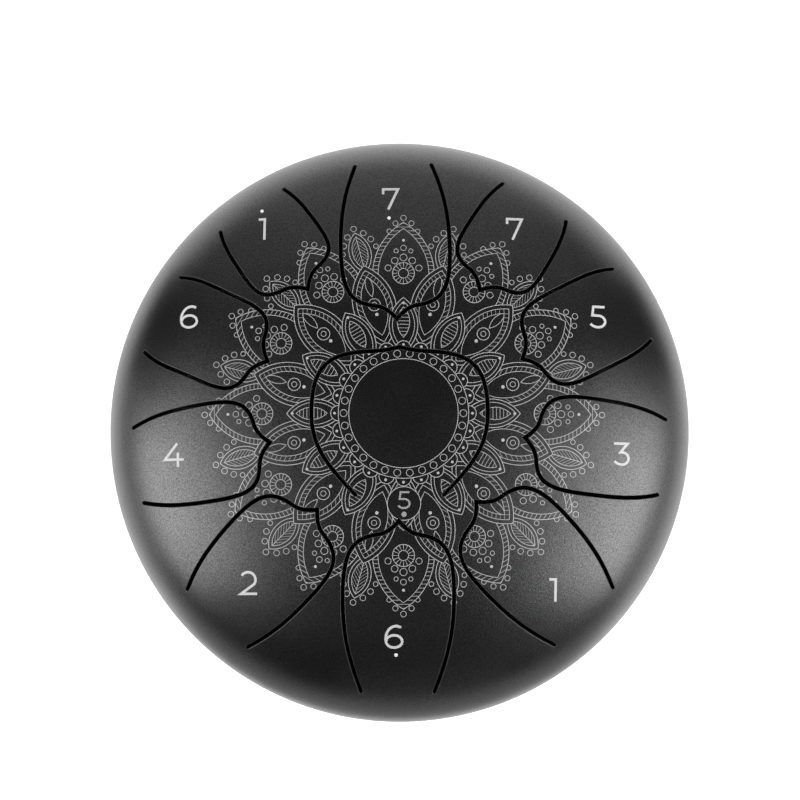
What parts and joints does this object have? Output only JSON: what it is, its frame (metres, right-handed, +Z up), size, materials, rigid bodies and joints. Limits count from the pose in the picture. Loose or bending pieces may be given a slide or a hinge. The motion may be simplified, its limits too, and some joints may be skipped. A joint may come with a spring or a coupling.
{
  "type": "steel tongue drum",
  "caption": "Round steel tongue drum: a domed top shell cut into sprung ringing tongues, welded to a bowl with a sound port, on rubber feet.",
  "frame": {"origin": "on the drum's axis, on the plane that the feet stand on", "axes": "+Z up through the crown, +Y away from the player, +X to the player's right"},
  "size_m": [0.254, 0.254, 0.141],
  "materials": {
    "coated_steel": "satin black powder coat with light line marking",
    "foot_rubber": "matt moulded rubber",
    "zinc_steel": "bright zinc plate",
    "magnet_nickel": "nickel plate"
  },
  "bodies": {
    "shell": {"top_shell": "coated_steel", "bottom_shell": "coated_steel", "seam_weld": "coated_steel", "foot_1": "foot_rubber", "foot_washer_1": "zinc_steel", "foot_screw_1": "zinc_steel", "foot_nut_1": "zinc_steel", "foot_2": "foot_rubber", "foot_washer_2": "zinc_steel", "foot_screw_2": "zinc_steel", "foot_nut_2": "zinc_steel", "foot_3": "foot_rubber", "foot_washer_3": "zinc_steel", "foot_screw_3": "zinc_steel", "foot_nut_3": "zinc_steel"},
    "tongue_low_5": {"tongue_low_5": "coated_steel", "tuning_magnet_low_5": "magnet_nickel"},
    "tongue_low_6": {"tongue_low_6": "coated_steel", "tuning_magnet_low_6": "magnet_nickel"},
    "tongue_low_7": {"tongue_low_7": "coated_steel", "tuning_magnet_low_7": "magnet_nickel"},
    "tongue_1": {"tongue_1": "coated_steel", "tuning_magnet_1": "magnet_nickel"},
    "tongue_2": {"tongue_2": "coated_steel", "tuning_magnet_2": "magnet_nickel"},
    "tongue_3": {"tongue_3": "coated_steel", "tuning_magnet_3": "magnet_nickel"},
    "tongue_4": {"tongue_4": "coated_steel", "tuning_magnet_4": "magnet_nickel"},
    "tongue_5": {"tongue_5": "coated_steel", "tuning_magnet_5": "magnet_nickel"},
    "tongue_6": {"tongue_6": "coated_steel", "tuning_magnet_6": "magnet_nickel"},
    "tongue_7": {"tongue_7": "coated_steel", "tuning_magnet_7": "magnet_nickel"},
    "tongue_high_1": {"tongue_high_1": "coated_steel", "tuning_magnet_high_1": "magnet_nickel"}
  },
  "joints": [
    {"name": "tongue_low_5_flex", "type": "hinge", "parent": "shell", "child": "tongue_low_5", "pos_m": [0, -0.03, 0.1385], "axis": [-1, 0, 0], "range_deg": [-0.8, 0.8], "stiffness_Nm_per_rad": 140},
    {"name": "tongue_low_6_flex", "type": "hinge", "parent": "shell", "child": "tongue_low_6", "pos_m": [-0.0008, -0.1132, 0.1052], "axis": [-1, 0.007, 0], "range_deg": [-0.8, 0.8], "stiffness_Nm_per_rad": 220},
    {"name": "tongue_low_7_flex", "type": "hinge", "parent": "shell", "child": "tongue_low_7", "pos_m": [-0.0028, 0.1131, 0.1053], "axis": [0.9997, 0.0244, 0], "range_deg": [-0.8, 0.8], "stiffness_Nm_per_rad": 240},
    {"name": "tongue_1_flex", "type": "hinge", "parent": "shell", "child": "tongue_1", "pos_m": [0.0787, -0.081, 0.1053], "axis": [-0.7169, -0.6972, 0], "range_deg": [-0.8, 0.8], "stiffness_Nm_per_rad": 250},
    {"name": "tongue_2_flex", "type": "hinge", "parent": "shell", "child": "tongue_2", "pos_m": [-0.0779, -0.0818, 0.1054], "axis": [-0.7242, 0.6896, 0], "range_deg": [-0.8, 0.8], "stiffness_Nm_per_rad": 260},
    {"name": "tongue_3_flex", "type": "hinge", "parent": "shell", "child": "tongue_3", "pos_m": [0.1124, -0.0128, 0.1052], "axis": [-0.1132, -0.9936, 0], "range_deg": [-0.8, 0.8], "stiffness_Nm_per_rad": 260},
    {"name": "tongue_4_flex", "type": "hinge", "parent": "shell", "child": "tongue_4", "pos_m": [-0.1119, -0.0163, 0.1052], "axis": [-0.1444, 0.9895, 0], "range_deg": [-0.8, 0.8], "stiffness_Nm_per_rad": 265},
    {"name": "tongue_5_flex", "type": "hinge", "parent": "shell", "child": "tongue_5", "pos_m": [0.0998, 0.0529, 0.1053], "axis": [0.4679, -0.8838, 0], "range_deg": [-0.8, 0.8], "stiffness_Nm_per_rad": 270},
    {"name": "tongue_6_flex", "type": "hinge", "parent": "shell", "child": "tongue_6", "pos_m": [-0.102, 0.0484, 0.1054], "axis": [0.4289, 0.9033, 0], "range_deg": [-0.8, 0.8], "stiffness_Nm_per_rad": 280},
    {"name": "tongue_7_flex", "type": "hinge", "parent": "shell", "child": "tongue_7", "pos_m": [0.0581, 0.0971, 0.1052], "axis": [0.8581, -0.5135, 0], "range_deg": [-0.8, 0.8], "stiffness_Nm_per_rad": 270},
    {"name": "tongue_high_1_flex", "type": "hinge", "parent": "shell", "child": "tongue_high_1", "pos_m": [-0.0636, 0.0935, 0.1053], "axis": [0.8271, 0.5621, 0], "range_deg": [-0.8, 0.8], "stiffness_Nm_per_rad": 250}
  ]
}
